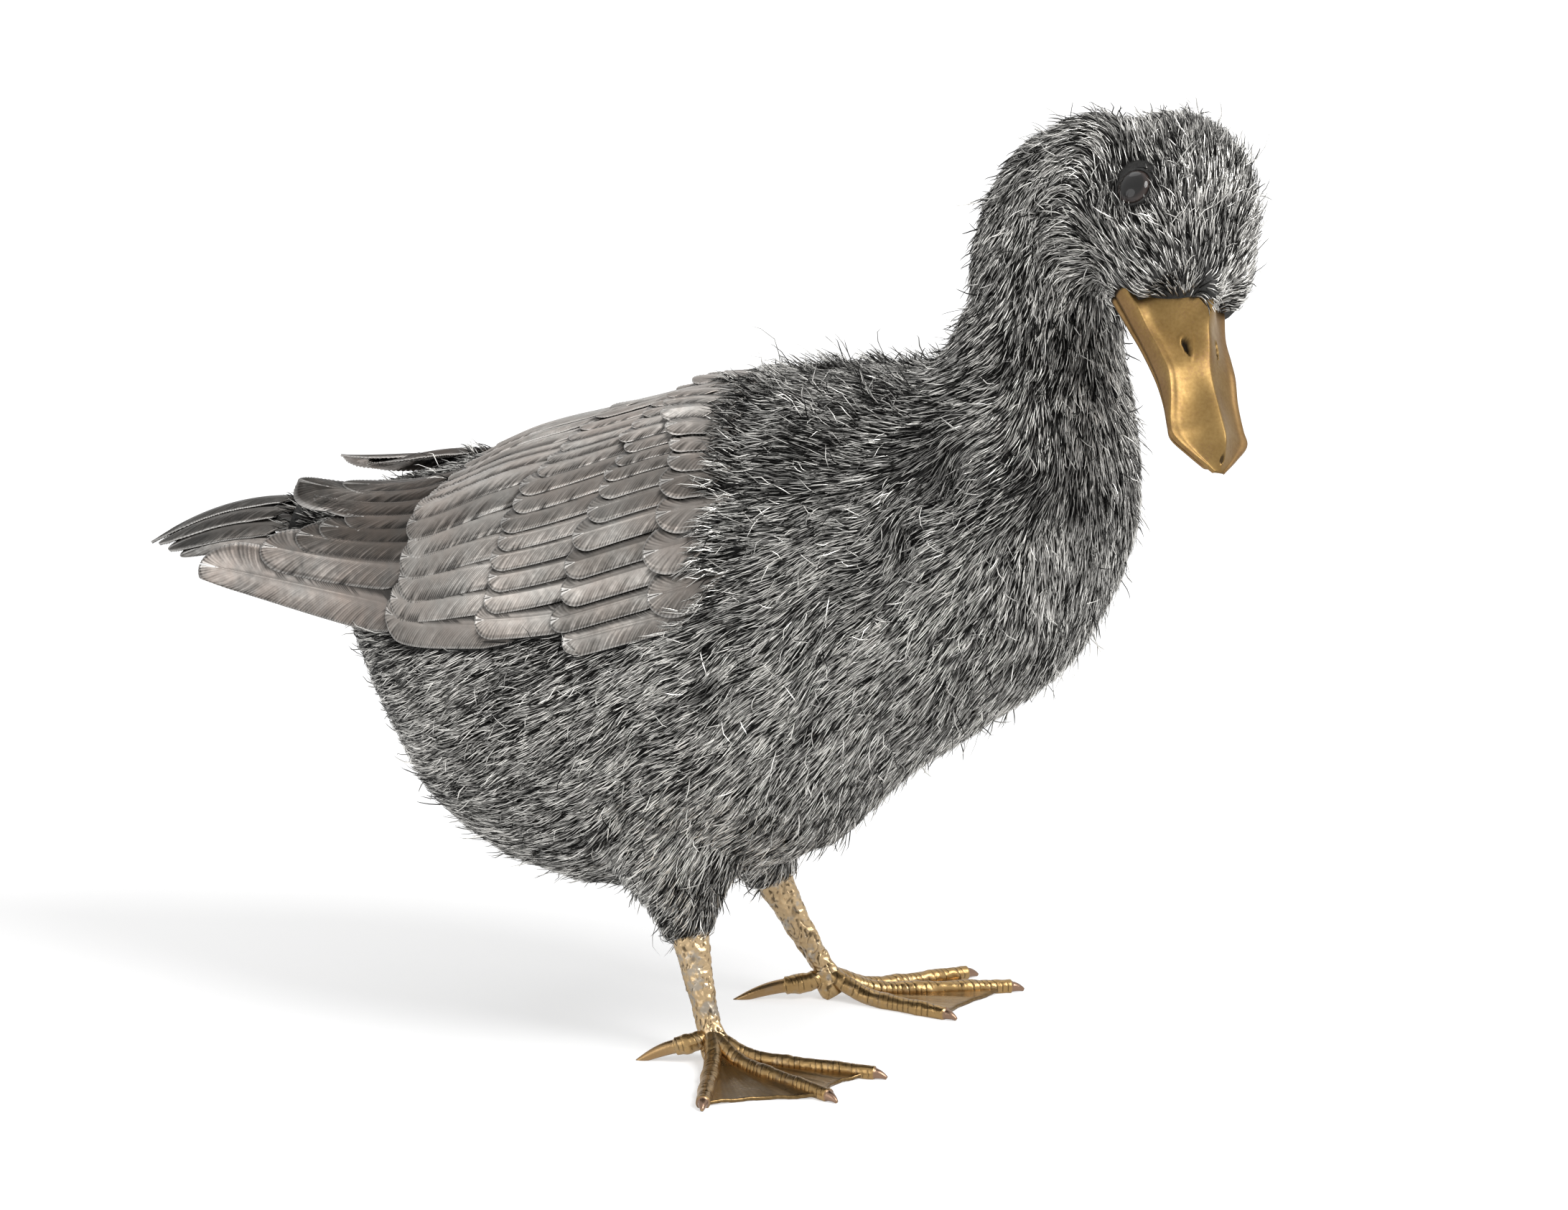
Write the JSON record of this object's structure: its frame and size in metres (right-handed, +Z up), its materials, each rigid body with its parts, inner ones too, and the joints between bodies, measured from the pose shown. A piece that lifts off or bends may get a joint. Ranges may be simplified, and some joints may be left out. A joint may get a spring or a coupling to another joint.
{
  "type": "duck figurine",
  "caption": "Free-standing silver duck ornament with wire-covered hollow body, layered feather wings, gilt bill and gilt webbed feet, head turned down to its right.",
  "frame": {"origin": "middle of the whole duck's outline on the plane of its soles", "axes": "+X towards the breast, +Y towards the duck's left, +Z up"},
  "size_m": [0.392, 0.1742, 0.3115],
  "materials": {
    "fur_silver": "oxidised silver wire, dark in the gaps",
    "feather_silver": "chased silver, satin",
    "bill_gilt": "polished gilding on silver",
    "leg_gilt": "chased gilding with dark hollows",
    "eye_glass": "dark opaque glass",
    "fixing_steel": "plain steel, hidden inside"
  },
  "bodies": {
    "root": {"body_shell_right": "fur_silver", "body_shell_left": "fur_silver", "neck_shell": "fur_silver", "head_shell": "fur_silver", "bill_upper": "bill_gilt", "bill_lower": "bill_gilt", "eye_right": "eye_glass", "eye_left": "eye_glass", "eye_socket_right": "fur_silver", "eye_socket_left": "fur_silver", "wing_plate_right": "feather_silver", "covert_row_1_right": "feather_silver", "covert_row_2_right": "feather_silver", "covert_row_3_right": "feather_silver", "covert_row_4_right": "feather_silver", "primary_1_right": "feather_silver", "primary_2_right": "feather_silver", "primary_3_right": "feather_silver", "primary_4_right": "feather_silver", "primary_5_right": "feather_silver", "primary_6_right": "feather_silver", "primary_7_right": "feather_silver", "primary_8_right": "feather_silver", "wing_plate_left": "feather_silver", "covert_row_1_left": "feather_silver", "covert_row_2_left": "feather_silver", "covert_row_3_left": "feather_silver", "covert_row_4_left": "feather_silver", "primary_1_left": "feather_silver", "primary_2_left": "feather_silver", "primary_3_left": "feather_silver", "primary_4_left": "feather_silver", "primary_5_left": "feather_silver", "primary_6_left": "feather_silver", "primary_7_left": "feather_silver", "primary_8_left": "feather_silver", "tail_base": "fur_silver", "tail_feather_1": "feather_silver", "tail_feather_2": "feather_silver", "tail_feather_3": "feather_silver", "tail_feather_4": "feather_silver", "tail_feather_5": "feather_silver", "tail_feather_6": "feather_silver", "tail_feather_7": "feather_silver", "thigh_right": "fur_silver", "thigh_left": "fur_silver", "shank_right": "leg_gilt", "shank_left": "leg_gilt", "foot_right": "leg_gilt", "foot_left": "leg_gilt", "hind_toe_right": "leg_gilt", "hind_toe_left": "leg_gilt", "leg_bridge": "fixing_steel", "leg_stud_right": "fixing_steel", "leg_stud_left": "fixing_steel", "leg_washer_right": "fixing_steel", "leg_washer_left": "fixing_steel", "leg_nut_right": "fixing_steel", "leg_nut_left": "fixing_steel"}
  },
  "joints": []
}
